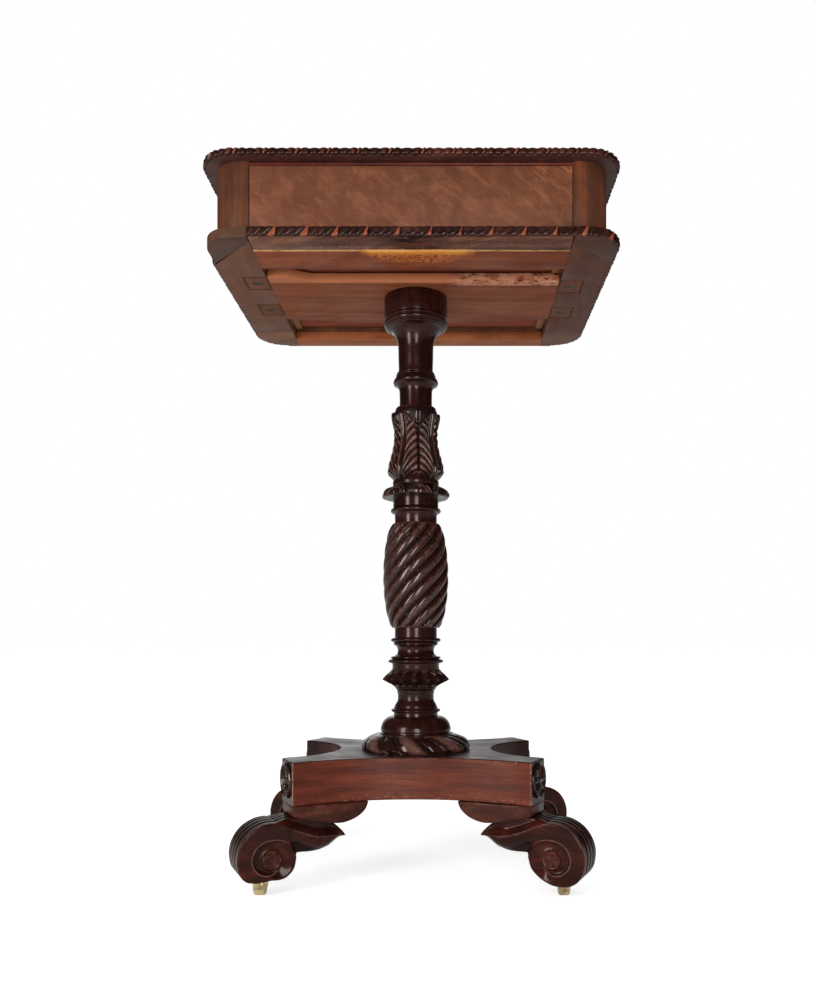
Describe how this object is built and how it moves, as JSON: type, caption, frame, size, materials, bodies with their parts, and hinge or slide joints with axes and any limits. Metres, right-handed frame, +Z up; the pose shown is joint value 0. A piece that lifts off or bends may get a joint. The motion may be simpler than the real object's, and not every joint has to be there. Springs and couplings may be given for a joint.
{
  "type": "lamp table",
  "caption": "Lamp table with a drawer in its frieze, rope-carved plates, a turned and spiral-reeded column, a concave-sided platform and scroll feet on sunk castors.",
  "frame": {"origin": "on the floor under the middle of the table, below the column's axis", "axes": "+Z up, -Y towards the front where the drawer opens, +X to the right seen from the front"},
  "size_m": [0.419, 0.311, 0.736],
  "materials": {
    "figured_mahogany": "polished figured mahogany",
    "carved_mahogany": "dark polished carved mahogany",
    "rail_mahogany": "unpolished aged mahogany",
    "drawer_lining": "plain lining wood, bare",
    "brass": "aged brass",
    "screw_iron": "dark iron"
  },
  "bodies": {
    "table": {"top_board": "figured_mahogany", "top_rope": "carved_mahogany", "stile_front_left": "figured_mahogany", "stile_front_right": "figured_mahogany", "stile_back_left": "figured_mahogany", "stile_back_right": "figured_mahogany", "side_panel_left": "figured_mahogany", "side_panel_right": "figured_mahogany", "back_panel": "figured_mahogany", "top_rail": "figured_mahogany", "front_rail": "rail_mahogany", "rear_rail": "rail_mahogany", "side_rail_left": "rail_mahogany", "side_rail_right": "rail_mahogany", "corner_front_left": "rail_mahogany", "corner_front_right": "rail_mahogany", "corner_back_left": "rail_mahogany", "corner_back_right": "rail_mahogany", "lower_rope_left": "carved_mahogany", "lower_rope_right": "carved_mahogany", "bearer_board": "rail_mahogany", "bearer_screws": "screw_iron", "guide_left": "drawer_lining", "guide_right": "drawer_lining", "kicker_left": "drawer_lining", "kicker_right": "drawer_lining", "top_collar": "carved_mahogany", "column": "carved_mahogany", "base_collar": "carved_mahogany", "tenon_wedge": "drawer_lining", "platform": "carved_mahogany", "roundel_front_right": "carved_mahogany", "roundel_front_left": "carved_mahogany", "roundel_back_right": "carved_mahogany", "roundel_back_left": "carved_mahogany", "foot_front_right": "carved_mahogany", "foot_front_left": "carved_mahogany", "foot_back_right": "carved_mahogany", "foot_back_left": "carved_mahogany", "foot_dowels": "drawer_lining", "castor_plate_front_right": "brass", "castor_plate_front_left": "brass", "castor_plate_back_right": "brass", "castor_plate_back_left": "brass"},
    "drawer": {"drawer_front": "figured_mahogany", "drawer_strip": "rail_mahogany", "drawer_rope": "carved_mahogany", "drawer_side_left": "drawer_lining", "drawer_side_right": "drawer_lining", "drawer_back": "drawer_lining", "drawer_bottom": "drawer_lining"},
    "castor_fork_front_right": {"castor_fork_front_right": "brass"},
    "castor_fork_front_left": {"castor_fork_front_left": "brass"},
    "castor_fork_back_right": {"castor_fork_back_right": "brass"},
    "castor_fork_back_left": {"castor_fork_back_left": "brass"},
    "castor_wheel_front_right": {"castor_wheel_front_right": "brass"},
    "castor_wheel_front_left": {"castor_wheel_front_left": "brass"},
    "castor_wheel_back_right": {"castor_wheel_back_right": "brass"},
    "castor_wheel_back_left": {"castor_wheel_back_left": "brass"}
  },
  "joints": [
    {"name": "drawer_slide", "type": "slide", "parent": "table", "child": "drawer", "axis": [0, -1, 0], "range_m": [0, 0.19]},
    {"name": "castor_swivel_front_right", "type": "hinge", "parent": "table", "child": "castor_fork_front_right", "pos_m": [0.15394, -0.11167, 0.029], "axis": [0, 0, 1], "continuous": true},
    {"name": "wheel_spin_front_right", "type": "hinge", "parent": "castor_fork_front_right", "child": "castor_wheel_front_right", "pos_m": [0.15394, -0.11417, 0.012], "axis": [1, 0, 0], "continuous": true},
    {"name": "castor_swivel_front_left", "type": "hinge", "parent": "table", "child": "castor_fork_front_left", "pos_m": [-0.15394, -0.11167, 0.029], "axis": [0, 0, 1], "continuous": true},
    {"name": "wheel_spin_front_left", "type": "hinge", "parent": "castor_fork_front_left", "child": "castor_wheel_front_left", "pos_m": [-0.15394, -0.11417, 0.012], "axis": [1, 0, 0], "continuous": true},
    {"name": "castor_swivel_back_right", "type": "hinge", "parent": "table", "child": "castor_fork_back_right", "pos_m": [0.15394, 0.11167, 0.029], "axis": [0, 0, 1], "continuous": true},
    {"name": "wheel_spin_back_right", "type": "hinge", "parent": "castor_fork_back_right", "child": "castor_wheel_back_right", "pos_m": [0.15394, 0.10917, 0.012], "axis": [1, 0, 0], "continuous": true},
    {"name": "castor_swivel_back_left", "type": "hinge", "parent": "table", "child": "castor_fork_back_left", "pos_m": [-0.15394, 0.11167, 0.029], "axis": [0, 0, 1], "continuous": true},
    {"name": "wheel_spin_back_left", "type": "hinge", "parent": "castor_fork_back_left", "child": "castor_wheel_back_left", "pos_m": [-0.15394, 0.10917, 0.012], "axis": [1, 0, 0], "continuous": true}
  ]
}
